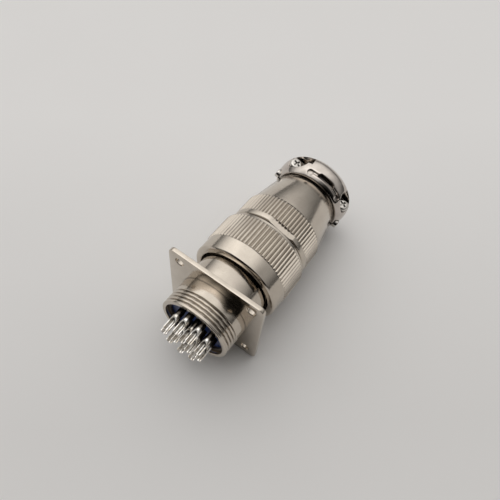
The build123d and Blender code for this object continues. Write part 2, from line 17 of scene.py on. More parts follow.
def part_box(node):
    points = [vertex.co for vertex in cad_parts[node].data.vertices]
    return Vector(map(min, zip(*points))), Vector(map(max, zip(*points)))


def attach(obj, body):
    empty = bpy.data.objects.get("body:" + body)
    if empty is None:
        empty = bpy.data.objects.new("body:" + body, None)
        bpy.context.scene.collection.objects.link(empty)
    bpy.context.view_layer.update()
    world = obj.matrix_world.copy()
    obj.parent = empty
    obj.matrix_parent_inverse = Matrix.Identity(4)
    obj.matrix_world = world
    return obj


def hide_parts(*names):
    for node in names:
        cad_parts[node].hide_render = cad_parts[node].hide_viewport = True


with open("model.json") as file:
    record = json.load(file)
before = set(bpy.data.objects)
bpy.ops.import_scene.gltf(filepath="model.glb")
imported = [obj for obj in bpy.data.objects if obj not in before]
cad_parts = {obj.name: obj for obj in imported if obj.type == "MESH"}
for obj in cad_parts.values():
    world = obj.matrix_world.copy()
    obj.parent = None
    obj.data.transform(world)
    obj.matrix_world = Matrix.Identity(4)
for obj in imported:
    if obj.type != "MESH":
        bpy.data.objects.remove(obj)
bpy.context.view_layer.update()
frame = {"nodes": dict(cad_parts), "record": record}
MM = 0.001
TURN = 2 * math.pi
print("nodes", len(frame["nodes"]))

# %% [markdown]
# ## The camera
#
# The photograph was taken from above and behind the solder cups, with the camera rolled a
# little. Its place and its turn about X, Y and Z were worked out from the outlines of the round
# rims and of the flange, so they are set by numbers.

# %% Place the camera
CAMERA_PLACE = Vector((-65.44, -46.86, 167.77)) * MM
CAMERA_TURN = [math.radians(angle) for angle in (31.678, -4.428, -54.074)]
SENSOR_WIDTH = 36.0
FRAME_PIXELS = 500
FOCAL_PIXELS = 537.6
NEAREST_SEEN = 5 * MM


def add_camera():
    """Create the camera with the photograph's field of view, and make it the scene's."""
    lens = bpy.data.cameras.new("portrait_camera")
    lens.sensor_width = SENSOR_WIDTH
    lens.lens = FOCAL_PIXELS * SENSOR_WIDTH / FRAME_PIXELS
    lens.clip_start = NEAREST_SEEN
    camera = bpy.data.objects.new("portrait_camera", lens)
    camera.location = CAMERA_PLACE
    camera.rotation_euler = CAMERA_TURN
    bpy.context.scene.collection.objects.link(camera)
    bpy.context.scene.camera = camera
    return camera


camera = add_camera()
print("lens", round(camera.data.lens, 2), "mm")

# %% [markdown]
# ## Whole meshes
#
# A finished piece keeps its object at the origin, unturned, and has its place in its mesh. So
# a shape is turned and moved as a mesh, and only then put in an object.

# %% Turn a mesh, move it, and put it in an object


def turn_mesh(mesh, angle, axis="X"):
    """Turn a whole mesh about an axis through the origin."""
    turn = Matrix.Rotation(angle, 3, axis)
    bmesh.ops.rotate(mesh, cent=(0, 0, 0), matrix=turn, verts=mesh.verts)


def move_mesh(mesh, way):
    """Move a whole mesh by a vector in metres."""
    bmesh.ops.translate(mesh, vec=way, verts=mesh.verts)


def face_outwards(mesh):
    """Turn the faces of a mesh to its outside."""
    bmesh.ops.recalc_face_normals(mesh, faces=mesh.faces)


def mesh_object(mesh, name):
    """Put a finished mesh in an object of its own."""
    data = bpy.data.meshes.new(name)
    mesh.to_mesh(data)
    mesh.free()
    item = bpy.data.objects.new(name, data)
    bpy.context.scene.collection.objects.link(item)
    return item


# %% [markdown]
# ## The floor
#
# The connector lies on a pale sheet, with the lower edge of its flange and the belly of its
# cable clamp on it. The part keeps the flange upright in its own frame, so the sheet leans by
# the few degrees between those two contacts.

# %% Lay the floor under the two contacts
flange_low, flange_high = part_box("receptacle_shell")
clamp_low, clamp_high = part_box("clamp_lower_half")
FLANGE_CONTACT_X = 1.4 * MM
CLAMP_CONTACT_X = 64.15 * MM
FLOOR_SIZE = 3.0


def add_floor():
    """Add a wide plane that passes under the flange's edge and the clamp's belly."""
    rise = clamp_low.z - flange_low.z
    lean = math.atan2(rise, CLAMP_CONTACT_X - FLANGE_CONTACT_X)
    mesh = bmesh.new()
    bmesh.ops.create_grid(mesh, x_segments=1, y_segments=1, size=FLOOR_SIZE / 2)
    turn_mesh(mesh, -lean, "Y")
    move_mesh(mesh, (FLANGE_CONTACT_X, 0, flange_low.z))
    floor = mesh_object(mesh, "floor")
    print("floor leans", round(math.degrees(lean), 2), "degrees")
    return floor


floor = add_floor()

# %% [markdown]
# ## Turned pieces
#
# Most of this connector came off a lathe. A lathe part is an outline swept round an axis, so
# each one starts as a wire of (station, radius) points in millimetres. Its corners are rounded
# with a vertex bevel, because a real edge always catches a thin line of light, and the wire is
# spun once round the X axis. Where a thread will be, the wire first gets more points.

# %% Draw and spin an outline


def draw_outline(corners, closed=True):
    """Start a mesh with a wire through (station, radius) corners, given in millimetres."""
    mesh = bmesh.new()
    verts = [mesh.verts.new(Vector((x, 0, r)) * MM) for x, r in corners]
    followers = verts[1:] + verts[:1] if closed else verts[1:]
    for pair in zip(verts, followers):
        mesh.edges.new(pair)
    return mesh


def round_corners(mesh, radius):
    """Round every corner of a wire outline: a corner where only one edge ends is left alone."""
    corners = [vert for vert in mesh.verts if len(vert.link_edges) == 2]
    bmesh.ops.bevel(
        mesh, geom=corners, offset=radius * MM, segments=2, profile=0.5, affect="VERTICES",
        material=-1, clamp_overlap=True,
    )


def spin_outline(mesh, steps):
    """Spin a wire outline once round the X axis, and point its faces outwards."""
    bmesh.ops.spin(
        mesh, geom=mesh.verts[:] + mesh.edges[:], cent=(0, 0, 0), axis=(1, 0, 0),
        angle=TURN, steps=steps, use_merge=True,
    )
    face_outwards(mesh)


# %% Add points to a wall of the outline
# Two measures in millimetres that differ by less than this are the same
SAME_PLACE = 0.01
# A margin in metres against rounding
HAIR = 1e-7


def wall_edges(mesh, radius):
    """Return the edges of a wire outline that run along the axis at one radius."""
    return [
        edge for edge in mesh.edges
        if all(abs(vert.co.z - radius * MM) < SAME_PLACE * MM for vert in edge.verts)
    ]


def cut_wall(mesh, station, radius):
    """Add a point to the wall of a wire outline at a station."""
    bmesh.ops.bisect_plane(
        mesh, geom=[*mesh.verts, *wall_edges(mesh, radius)], plane_co=(station * MM, 0, 0),
        plane_no=(1, 0, 0),
    )


def refine_wall(mesh, start, end, radius, spacing):
    """Cut up the wall of a wire outline between two stations, for a thread to shape."""
    cut_wall(mesh, start, radius)
    cut_wall(mesh, end, radius)
    low, high = start * MM - HAIR, end * MM + HAIR
    inside = [
        edge for edge in wall_edges(mesh, radius)
        if all(low <= vert.co.x <= high for vert in edge.verts)
    ]
    cuts = round((end - start) / spacing) - 1
    bmesh.ops.subdivide_edges(mesh, edges=inside, cuts=cuts)


# %% [markdown]
# ## Threads
#
# A thread is a groove that climbs one pitch each turn. It only changes how far a point lies
# from the axis, so one helper passes over a spun mesh and asks a rule for each point's new
# radius and angle. A rule is a small formula, which keeps the groove exact. The groove fades
# out at both ends, as where a tool lifts off.

# %% Reshape a spun mesh by rules
# Shares of the pitch: the flat left on a crest or at a root, and the stretch of the fading
THREAD_FLAT = 0.12
THREAD_RUN_OUT = 0.4


def reshape(mesh, *rules):
    """Give each point (station, radius, angle) to each rule, and move it where the rule says."""
    for vert in mesh.verts:
        station, radius = vert.co.x / MM, math.hypot(vert.co.y, vert.co.z) / MM
        angle = math.atan2(vert.co.z, vert.co.y)
        for rule in rules:
            radius, angle = rule(station, radius, angle)
        vert.co.y = radius * math.cos(angle) * MM
        vert.co.z = radius * math.sin(angle) * MM


def thread_rule(start, end, pitch, wall, depth, crest=THREAD_FLAT):
    """Return the rule of a right-hand V thread: a negative depth cuts outwards, as in a nut."""
    def rule(station, radius, angle):
        if start <= station <= end and abs(radius - wall) < SAME_PLACE:
            place = ((station - start) / pitch - angle / TURN) % 1
            groove = (1 - abs(2 * place - 1) - crest) / (1 - crest - THREAD_FLAT)
            groove = min(max(groove, 0), 1)
            fade = THREAD_RUN_OUT * pitch
            run_out = min((station - start) / fade, (end - station) / fade, 1)
            radius -= depth * groove * run_out
        return radius, angle

    return rule


# %% [markdown]
# ## Knurls
#
# A straight knurl is a row of grooves along the axis, rolled into the metal so that fingers
# grip it. The mesh is spun with six points for each rib, and the rule moves each of them to
# its corner of the rib, so the ribs are crisp at a low cost.

# %% The rule of a knurl
KNURL_COUNT = 72
KNURL_DEPTH = 0.65
# One rib and its groove, as (share of the step, share of the depth)
KNURL_RIB = ((-0.11, 0.0), (0.11, 0.0), (0.19, 0.14), (0.44, 1.0), (0.56, 1.0), (0.81, 0.14))
KNURL_STEPS = KNURL_COUNT * len(KNURL_RIB)
# How far below its grooves the outer wall is still told from the bore
KNURL_SKIN = 0.2


def knurl_rule(start, end, wall):
    """Return the rule of a straight knurl with rounded ribs and V grooves."""
    def rule(station, radius, angle):
        number = round((angle / TURN) * KNURL_STEPS)
        rib, corner = divmod(number, len(KNURL_RIB))
        shift, share = KNURL_RIB[corner]
        angle = (rib + shift) / KNURL_COUNT * TURN
        if start <= station <= end and radius > wall - KNURL_DEPTH - KNURL_SKIN:
            radius = min(radius, wall - KNURL_DEPTH * share)
        return radius, angle

    return rule


print("steps round a knurled piece", KNURL_STEPS)

# %% [markdown]
# ## Named pieces
#
# In the solid model each piece is a node on a body that the joints may move. A new mesh hides
# the nodes it stands for and rides on their body. Round walls are shaded smooth, and edges
# above some angle stay sharp.

# %% Turn a finished mesh into a named piece
SHARP_ANGLE = math.radians(32)


def finish_piece(mesh, name, nodes, body):
    """Make the mesh an object that stands for CAD nodes and rides on their body."""
    piece = mesh_object(mesh, name)
    piece.data.shade_smooth()
    piece.data.set_sharp_from_angle(angle=SHARP_ANGLE)
    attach(piece, body)
    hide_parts(*nodes)
    triangles = sum(len(face.vertices) - 2 for face in piece.data.polygons)
    print(name, triangles, "triangles")
    return piece


# %% [markdown]
# ## The receptacle's turned walls
#
# The receptacle's shell is one piece of metal: a threaded tube behind the panel, a square
# flange with four holes, and a barrel in front. The tube and the barrel came off the lathe, so
# they are spun in one outline, left open at the flange. A thread is cut on each of them, and a
# keyway in the barrel's bore lets the plug in at one angle only.

# %% Turn the tube and the barrel
rear_face = flange_low.x / MM
barrel_front = flange_high.x / MM
PANEL_FACE = 0.0
FLANGE_THICKNESS = 1.6
REAR_RADIUS = 13.5
REAR_BORE = 12.05
REAR_THREAD = (-10.5, -4.6)
REAR_PITCH = 1.4
REAR_THREAD_DEPTH = 0.62
REAR_CREST = 0.36
RIM_CHAMFER = 0.2
RING_GROOVE = (-9.3, -8.4)
RING_GROOVE_DEPTH = 0.5
STOP_RADIUS = 10.65
STOP_STATIONS = (4.0, 5.0)
BARREL_RADIUS = 13.7
BARREL_BORE = 11.7
BARREL_THREAD = (12.5, 20.8)
COUPLING_PITCH = 1.5
COUPLING_DEPTH = 0.65
KEYWAY_HALF_WIDTH = 1.6
KEYWAY_DEPTH = 0.8
BORE_MARGIN = 0.05
TURNED_EDGE = 0.1
THREAD_SPACING = 0.1
BARREL_SPACING = 1.5 * THREAD_SPACING
SHELL_STEPS = 240


def keyway_rule(station, radius, angle):
    """Press the bore's wall outwards along one line, as the keyway of the plug's key."""
    on_bore = BARREL_BORE - BORE_MARGIN < radius < BARREL_BORE + KEYWAY_DEPTH / 2
    across = radius * math.sin(angle)
    in_keyway = math.cos(angle) > 0 and abs(across) <= KEYWAY_HALF_WIDTH
    if on_bore and in_keyway and station > STOP_STATIONS[1]:
        along = BARREL_BORE + KEYWAY_DEPTH
        radius, angle = math.hypot(along, across), math.atan2(across, along)
    return radius, angle


def turn_shell():
    """Spin the tube and the barrel, whose outline is open where the flange will be."""
    mesh = draw_outline(
        (
            (PANEL_FACE, REAR_RADIUS),
            (rear_face + RIM_CHAMFER, REAR_RADIUS),
            (rear_face, REAR_RADIUS - RIM_CHAMFER),
            (rear_face, REAR_BORE),
            (RING_GROOVE[0], REAR_BORE),
            (RING_GROOVE[0], REAR_BORE + RING_GROOVE_DEPTH),
            (RING_GROOVE[1], REAR_BORE + RING_GROOVE_DEPTH),
            (RING_GROOVE[1], REAR_BORE),
            (STOP_STATIONS[0], REAR_BORE),
            (STOP_STATIONS[0], STOP_RADIUS),
            (STOP_STATIONS[1], STOP_RADIUS),
            (STOP_STATIONS[1], BARREL_BORE),
            (barrel_front, BARREL_BORE),
            (barrel_front, BARREL_RADIUS - COUPLING_DEPTH),
            (barrel_front - COUPLING_DEPTH, BARREL_RADIUS),
            (FLANGE_THICKNESS, BARREL_RADIUS),
        ),
        closed=False,
    )
    round_corners(mesh, TURNED_EDGE)
    refine_wall(mesh, *REAR_THREAD, REAR_RADIUS, THREAD_SPACING)
    refine_wall(mesh, *BARREL_THREAD, BARREL_RADIUS, BARREL_SPACING)
    spin_outline(mesh, SHELL_STEPS)
    reshape(
        mesh,
        thread_rule(*REAR_THREAD, REAR_PITCH, REAR_RADIUS, REAR_THREAD_DEPTH, REAR_CREST),
        thread_rule(*BARREL_THREAD, COUPLING_PITCH, BARREL_RADIUS, COUPLING_DEPTH),
        keyway_rule,
    )
    return mesh


shell_mesh = turn_shell()
print("turned walls", len(shell_mesh.faces), "faces")

# %% [markdown]
# ## The receptacle's flange
#
# The square flange is of one piece with the tube. It is a box with rounded corners and broken
# edges, whose two big faces are cut away. Each of those faces is filled again between the
# box's edge, the four screw holes and the turned walls, so the shell is one closed skin.

# %% Add the flange's sides and holes
flange_half = flange_high.y / MM
FLANGE_CORNER = 2.2
FLANGE_CORNER_STEPS = 8
FLANGE_EDGE_BREAK = 0.2
HOLE_SPACING = 29.0
HOLE_RADIUS = 1.7
HOLE_EDGE_BREAK = 0.15
HOLE_STEPS = 32


def bevel_edges(mesh, edges, width, segments=2):
    """Round off edges by a width in millimetres."""
    bmesh.ops.bevel(
        mesh, geom=edges, offset=width * MM, segments=segments, profile=0.5, affect="EDGES",
        material=-1, clamp_overlap=False,
    )


def big_faces(mesh):
    """Return the flange's two big faces: no other face has so many corners."""
    return [face for face in mesh.faces if len(face.verts) > FLANGE_CORNER_STEPS]


def add_flange_rim(mesh):
    """Add the flange's four rounded sides: a box without its two big faces."""
    box = bmesh.ops.create_cube(mesh, size=1)["verts"]
    side = 2 * flange_half * MM
    bmesh.ops.scale(mesh, vec=(FLANGE_THICKNESS * MM, side, side), verts=box)
    bmesh.ops.translate(mesh, vec=(FLANGE_THICKNESS / 2 * MM, 0, 0), verts=box)
    upright = [
        edge for edge in mesh.edges
        if edge.verts[0] in box and abs(edge.verts[0].co.x - edge.verts[1].co.x) > MM
    ]
    bevel_edges(mesh, upright, FLANGE_CORNER, FLANGE_CORNER_STEPS)
    rims = [edge for face in big_faces(mesh) for edge in face.edges]
    bevel_edges(mesh, rims, FLANGE_EDGE_BREAK)
    bmesh.ops.delete(mesh, geom=big_faces(mesh), context="FACES_ONLY")


def add_hole_walls(mesh):
    """Add the chamfered walls of the four mounting holes."""
    half = HOLE_SPACING / 2
    wide = HOLE_RADIUS + HOLE_EDGE_BREAK
    wall = (
        (0, wide),
        (HOLE_EDGE_BREAK, HOLE_RADIUS),
        (FLANGE_THICKNESS - HOLE_EDGE_BREAK, HOLE_RADIUS),
        (FLANGE_THICKNESS, wide),
    )
    for y in (-half, half):
        for z in (-half, half):
            verts = [mesh.verts.new(Vector((x, y, z + r)) * MM) for x, r in wall]
            edges = [mesh.edges.new(pair) for pair in zip(verts, verts[1:])]
            bmesh.ops.spin(
                mesh, geom=verts + edges, cent=Vector((0, y, z)) * MM, axis=(1, 0, 0),
                angle=TURN, steps=HOLE_STEPS, use_merge=True,
            )


add_flange_rim(shell_mesh)
add_hole_walls(shell_mesh)
print("walls, sides and holes", len(shell_mesh.faces), "faces")

# %% Fill the flange's faces and finish the shell


def fill_flange_faces(mesh):
    """Fill the two big faces between the rim, the holes and the turned walls."""
    for station in (PANEL_FACE, FLANGE_THICKNESS):
        border = [
            edge for edge in mesh.edges
            if len(edge.link_faces) < 2
            and all(abs(vert.co.x / MM - station) < SAME_PLACE for vert in edge.verts)
        ]
        bmesh.ops.triangle_fill(mesh, use_beauty=True, use_dissolve=False, edges=border)
    face_outwards(mesh)
    print("open edges in the shell", sum(1 for edge in mesh.edges if not edge.is_manifold))


fill_flange_faces(shell_mesh)
receptacle_shell = finish_piece(
    shell_mesh, "receptacle_shell_turned", ["receptacle_shell"], "receptacle"
)

# %% [markdown]
# ## The coupling nut
#
# The nut has a smooth band at its mouth and a straight knurl behind it, for the fingers.
# Inside, it has the thread that climbs on the barrel, and the lip that pulls the plug.

# %% Coupling nut
nut_low, nut_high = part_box("coupling_nut")
nut_front, nut_rear = nut_low.x / MM, nut_high.x / MM
NUT_BAND_RADIUS = 17.2
NUT_BAND_LENGTH = 6.35
NUT_FRONT_CHAMFER = 0.6
NUT_KNURL_RADIUS = 17.5
NUT_KNURL_RISE = 0.3
NUT_KNURL_INSET = 0.05
NUT_REAR_RIM = 1.35
NUT_REAR_CHAMFER = 0.4
NUT_THREAD_RADIUS = 13.95
NUT_THREAD_INSET = 0.2
NUT_MOUTH_RADIUS = NUT_THREAD_RADIUS + COUPLING_DEPTH
NUT_MOUTH_DEPTH = 1.0
NUT_CHAMBER_RADIUS = 14.7
NUT_LIP = (25.0, 27.6)
NUT_LIP_RADIUS = 13.18
NUT_RECESS_RADIUS = 14.68
NUT_EDGE = 0.12
NUT_SPACING = 2 * THREAD_SPACING
nut_knurl = (nut_front + NUT_BAND_LENGTH, nut_rear - NUT_REAR_RIM)
nut_thread = (nut_front + NUT_MOUTH_DEPTH + COUPLING_DEPTH, barrel_front)


def make_coupling_nut():
    """Spin the nut, then press its knurl and its inner thread into the walls."""
    knurl_end = nut_knurl[1] + NUT_REAR_CHAMFER
    mesh = draw_outline(
        (
            (nut_front, NUT_MOUTH_RADIUS),
            (nut_front, NUT_BAND_RADIUS - NUT_FRONT_CHAMFER),
            (nut_front + NUT_FRONT_CHAMFER, NUT_BAND_RADIUS),
            (nut_knurl[0], NUT_BAND_RADIUS),
            (nut_knurl[0] + NUT_KNURL_RISE, NUT_KNURL_RADIUS),
            (nut_knurl[1], NUT_KNURL_RADIUS),
            (knurl_end, NUT_BAND_RADIUS - NUT_REAR_CHAMFER),
            (nut_rear, NUT_BAND_RADIUS - NUT_REAR_CHAMFER),
            (nut_rear, NUT_RECESS_RADIUS),
            (NUT_LIP[1], NUT_RECESS_RADIUS),
            (NUT_LIP[1], NUT_LIP_RADIUS),
            (NUT_LIP[0], NUT_LIP_RADIUS),
            (NUT_LIP[0], NUT_CHAMBER_RADIUS),
            (nut_thread[1], NUT_CHAMBER_RADIUS),
            (nut_thread[1], NUT_THREAD_RADIUS),
            (nut_thread[0], NUT_THREAD_RADIUS),
            (nut_thread[0] - COUPLING_DEPTH, NUT_MOUTH_RADIUS),
        )
    )
    round_corners(mesh, NUT_EDGE)
    inside = (nut_thread[0] + NUT_THREAD_INSET, nut_thread[1] - NUT_THREAD_INSET)
    refine_wall(mesh, *inside, NUT_THREAD_RADIUS, NUT_SPACING)
    spin_outline(mesh, KNURL_STEPS)
    reshape(
        mesh,
        thread_rule(*inside, COUPLING_PITCH, NUT_THREAD_RADIUS, -COUPLING_DEPTH),
        knurl_rule(nut_knurl[0] + NUT_KNURL_INSET, knurl_end, NUT_KNURL_RADIUS),
    )
    return finish_piece(
        mesh, "coupling_nut_knurled", ["coupling_nut"], "coupling_nut"
    )


coupling_nut = make_coupling_nut()

# %% [markdown]
# ## The backshell
#
# Behind the nut, the backshell has a collar with two wrench flats, a second knurl, and a cone
# that leads to the cable clamp. The flats are cut by holding back every point of the collar
# that stands higher than the flat, measured along the direction of the clamp's screws.

# %% Backshell
shell_low, shell_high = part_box("backshell")
collar_front, barrel_end = shell_low.x / MM, shell_high.x / MM
backshell_radius = shell_high.y / MM
BACKSHELL_BORE = 13.25
BACKSHELL_CHAMFER = 0.4
BACKSHELL_THREAD_LENGTH = 7.75
BACKSHELL_SPACING = 2.5 * THREAD_SPACING
COLLAR_SETBACK = 0.35
COLLAR_LENGTH = 2.65
BACKSHELL_KNURL_LENGTH = 8.2
KNURL_RUN_OUT = 0.5
KNURL_FACE = 0.06
CONE_STEP = 0.45
CONE_LENGTH = 16.1
CONE_END_RADIUS = 13.1
HOOK_GROOVE = (58.1, 59.0)
HOOK_GROOVE_RADIUS = 12.35
RIM_BORE = 10.85
WRENCH_FLAT_DEPTH = 0.9
CLAMP_TURN = math.radians(17.0)
knurl_front = collar_front + COLLAR_LENGTH
knurl_rear = knurl_front + BACKSHELL_KNURL_LENGTH
cone_front = knurl_rear + KNURL_RUN_OUT


def wrench_flat_rule(station, radius, angle):
    """Hold the collar's points back to the two flats, across the clamp screws' direction."""
    limit = backshell_radius - WRENCH_FLAT_DEPTH
    turned = angle - CLAMP_TURN
    height = radius * math.sin(turned)
    if station < knurl_front - KNURL_FACE / 2 and abs(height) > limit:
        across = radius * math.cos(turned)
        held = math.copysign(limit, height)
        radius, angle = math.hypot(across, held), math.atan2(held, across) + CLAMP_TURN
    return radius, angle


def make_backshell():
    """Spin the backshell, then cut its knurl, flats and inner thread."""
    front = collar_front + COLLAR_SETBACK
    thread_front = collar_front + BACKSHELL_CHAMFER
    inside = (thread_front, thread_front + BACKSHELL_THREAD_LENGTH)
    mesh = draw_outline(
        (
            (front, BACKSHELL_BORE),
            (front, backshell_radius - BACKSHELL_CHAMFER),
            (front + BACKSHELL_CHAMFER, backshell_radius),
            (knurl_rear, backshell_radius),
            (cone_front, backshell_radius - CONE_STEP),
            (cone_front + CONE_LENGTH, CONE_END_RADIUS),
            (HOOK_GROOVE[0], HOOK_GROOVE_RADIUS),
            (HOOK_GROOVE[1], HOOK_GROOVE_RADIUS),
            (HOOK_GROOVE[1], CONE_END_RADIUS),
            (barrel_end, CONE_END_RADIUS),
            (barrel_end, RIM_BORE),
            (HOOK_GROOVE[0], RIM_BORE),
            (cone_front, BACKSHELL_BORE),
        )
    )
    round_corners(mesh, TURNED_EDGE)
    cut_wall(mesh, knurl_front - KNURL_FACE, backshell_radius)
    cut_wall(mesh, knurl_front, backshell_radius)
    refine_wall(mesh, *inside, BACKSHELL_BORE, BACKSHELL_SPACING)
    spin_outline(mesh, KNURL_STEPS)
    reshape(
        mesh,
        thread_rule(*inside, COUPLING_PITCH, BACKSHELL_BORE, -COUPLING_DEPTH),
        knurl_rule(knurl_front - KNURL_FACE / 2, cone_front, backshell_radius),
        wrench_flat_rule,
    )
    return finish_piece(mesh, "backshell_knurled", ["backshell"], "plug")


backshell = make_backshell()

# %% [markdown]
# ## Cutting tools
#
# The clamp, the screws and the solder cups have pockets, slots and scoops that no lathe can
# turn. Each such cut is a small cutter mesh and a Boolean modifier. All cutters of a piece are
# put in one modifier stack, and the result becomes the piece's own mesh.

# %% Cutters
CUTTER_SIDES = 48
# How far a cutter reaches past the skin it opens, in millimetres
OVERCUT = 1.0


def cutter_box(low, high):
    """Return a box mesh between two corners, in millimetres."""
    mesh = bmesh.new()
    bmesh.ops.create_cube(mesh, size=1)
    low, high = Vector(low) * MM, Vector(high) * MM
    bmesh.ops.scale(mesh, vec=high - low, verts=mesh.verts)
    move_mesh(mesh, (low + high) / 2)
    return mesh


def cutter_rod(base, length, radius, axis="Z"):
    """Return a round rod that starts at a point and runs along Z, or along Y, in millimetres."""
    mesh = bmesh.new()
    bmesh.ops.create_cone(
        mesh, cap_ends=True, segments=CUTTER_SIDES, radius1=radius * MM, radius2=radius * MM,
        depth=length * MM, matrix=Matrix.Translation((0, 0, length / 2 * MM)),
    )
    if axis == "Y":
        turn_mesh(mesh, -TURN / 4)
    move_mesh(mesh, Vector(base) * MM)
    return mesh


# %% Cut a mesh and break its edges
CUT_WELD = 0.004 * MM


def cut_away(mesh, cutters, turned=0.0):
    """Return the mesh without what its cutters take, which are turned about X first."""
    stock = mesh_object(mesh, "stock")
    tools = []
    for cutter in cutters:
        turn_mesh(cutter, turned)
        tool = mesh_object(cutter, "tool")
        tools.append(tool)
        step = stock.modifiers.new("cut", "BOOLEAN")
        step.operation = "DIFFERENCE"
        step.solver = "EXACT"
        step.object = tool
    graph = bpy.context.evaluated_depsgraph_get()
    result = bmesh.new()
    result.from_object(stock, graph)
    for item in (stock, *tools):
        bpy.data.objects.remove(item)
    bmesh.ops.remove_doubles(result, verts=result.verts, dist=CUT_WELD)
    bmesh.ops.dissolve_degenerate(result, edges=result.edges, dist=CUT_WELD)
    return result


def break_edges(mesh, width, sharp=50):
    """Bevel every edge that is sharper than some angle, in degrees."""
    limit = math.radians(sharp)
    edges = [edge for edge in mesh.edges if edge.calc_face_angle(0) > limit]
    bevel_edges(mesh, edges, width)
    face_outwards(mesh)


# %% [markdown]
# ## The cable clamp's ring
#
# Two rounded half rings hook over the backshell's rim, and two screws draw them together on
# the cable. Both halves start as one spun ring with a domed outside. A plane on each side of
# the seam splits it, which leaves the gap that lets the screws pull.

# %% Spin the ring and split it
CLAMP_CREST = 64.15
CREST_RADIUS = 15.75
CLAMP_FRONT_RADIUS = 13.8
CLAMP_REAR_RADIUS = 12.9
CLAMP_CLEARANCE = 0.15
CABLE_RADIUS = 9.0
CABLE_EDGE_RADIUS = 1.2
SPLIT_GAP = 0.8
ARC_STEPS = 10
RING_STEPS = 180


def arc_to(end_station, end_radius):
    """Return points of the arc that leaves the crest level and ends at a point."""
    run, drop = end_station - CLAMP_CREST, CREST_RADIUS - end_radius
    bend = (run * run + drop * drop) / (2 * drop)
    sweep = math.asin(run / bend)
    angles = [sweep * step / ARC_STEPS for step in range(ARC_STEPS + 1)]
    return [
        (CLAMP_CREST + bend * math.sin(angle), CREST_RADIUS - bend * (1 - math.cos(angle)))
        for angle in angles
    ]


def spin_clamp_ring():
    """Spin the closed outline that both halves are cut from."""
    clamp_front, clamp_rear = clamp_low.x / MM, clamp_high.x / MM
    hook = HOOK_GROOVE_RADIUS + CLAMP_CLEARANCE
    rim = CONE_END_RADIUS + CLAMP_CLEARANCE
    mesh = draw_outline(
        (
            *reversed(arc_to(clamp_front, CLAMP_FRONT_RADIUS)),
            *arc_to(clamp_rear, CLAMP_REAR_RADIUS)[1:],
            (clamp_rear, CABLE_RADIUS + CABLE_EDGE_RADIUS),
            (clamp_rear - CABLE_EDGE_RADIUS / 3, CABLE_RADIUS + CABLE_EDGE_RADIUS / 3),
            (clamp_rear - CABLE_EDGE_RADIUS, CABLE_RADIUS),
            (barrel_end + CLAMP_CLEARANCE, CABLE_RADIUS),
            (barrel_end + CLAMP_CLEARANCE, rim),
            (HOOK_GROOVE[1] - CLAMP_CLEARANCE, rim),
            (HOOK_GROOVE[1] - CLAMP_CLEARANCE, hook),
            (clamp_front, hook),
        )
    )
    spin_outline(mesh, RING_STEPS)
    return mesh


def half_ring(side):
    """Return the upper half of the ring, side +1, or the lower one, side -1."""
    mesh = spin_clamp_ring()
    up = Vector((0, -math.sin(CLAMP_TURN), math.cos(CLAMP_TURN))) * side
    bmesh.ops.bisect_plane(
        mesh, geom=[*mesh.verts, *mesh.edges, *mesh.faces], dist=HAIR,
        plane_co=up * SPLIT_GAP / 2 * MM, plane_no=up, clear_inner=True,
    )
    border = [edge for edge in mesh.edges if len(edge.link_faces) == 1]
    bmesh.ops.holes_fill(mesh, edges=border, sides=0)
    face_outwards(mesh)
    return mesh


# %% [markdown]
# ## Window and valley of the clamp
#
# The upper half is an arch between two screw pockets. A narrow window is cast through its
# front, and a shallow valley with a round foot at each end runs in front of the arch. The
# valley's cutter is a disc swept round the axis, and each foot's is a rod that points at the
# axis, so both stay square to the skin.

# %% Cutters of the window and the valley
REACH = 17.0
ARCH_MIDDLE = -1.1
ARCH_WIDTH = 16.5
WINDOW_FRONT = 60.1
WINDOW_LENGTH = 1.7
WINDOW_MIDDLE = -1.0
WINDOW_WIDTH = 7.5
WINDOW_DEPTH = 2.8
WINDOW_CORNER = 1.3
WINDOW_CORNER_STEPS = 6
VALLEY_STATION = 60.4
VALLEY_TOOL_RADIUS = 0.7
VALLEY_TOOL_HEIGHT = 15.1
VALLEY_TOOL_SIDES = 16
VALLEY_STEPS = 24
FOOT_STATION = 60.0
FOOT_RADIUS = 1.2
FOOT_SEAT = 14.2


def window_cutter():
    """Return the cutter of the arch's window: its rear corners are rounded."""
    side = WINDOW_WIDTH / 2
    rear = WINDOW_FRONT + WINDOW_LENGTH
    mesh = cutter_box(
        (WINDOW_FRONT, WINDOW_MIDDLE - side, CREST_RADIUS - WINDOW_DEPTH),
        (rear, WINDOW_MIDDLE + side, REACH),
    )
    corners = [
        edge for edge in mesh.edges
        if all(abs(vert.co.x - rear * MM) < SAME_PLACE * MM for vert in edge.verts)
        and abs(edge.verts[0].co.z - edge.verts[1].co.z) > MM
    ]
    bevel_edges(mesh, corners, WINDOW_CORNER, WINDOW_CORNER_STEPS)
    return mesh


def valley_cutters():
    """Return the cutters of the shallow valley in front of the arch, and of its two feet."""
    reach = ARCH_WIDTH / 2 - FOOT_RADIUS
    first, last = [
        -math.asin((ARCH_MIDDLE + side * reach) / VALLEY_TOOL_HEIGHT) for side in (1, -1)
    ]
    valley = bmesh.new()
    bmesh.ops.create_circle(
        valley, cap_ends=True, segments=VALLEY_TOOL_SIDES, radius=VALLEY_TOOL_RADIUS * MM,
        matrix=Matrix.Rotation(TURN / 4, 4, "X"),
    )
    move_mesh(valley, Vector((VALLEY_STATION, 0, VALLEY_TOOL_HEIGHT)) * MM)
    turn_mesh(valley, first)
    bmesh.ops.spin(
        valley, geom=valley.faces[:], cent=(0, 0, 0), axis=(1, 0, 0), angle=last - first,
        steps=VALLEY_STEPS,
    )
    face_outwards(valley)
    cutters = [valley]
    for angle in (first, last):
        foot = cutter_rod((FOOT_STATION, 0, FOOT_SEAT), REACH - FOOT_SEAT, FOOT_RADIUS)
        turn_mesh(foot, angle)
        cutters.append(foot)
    return cutters


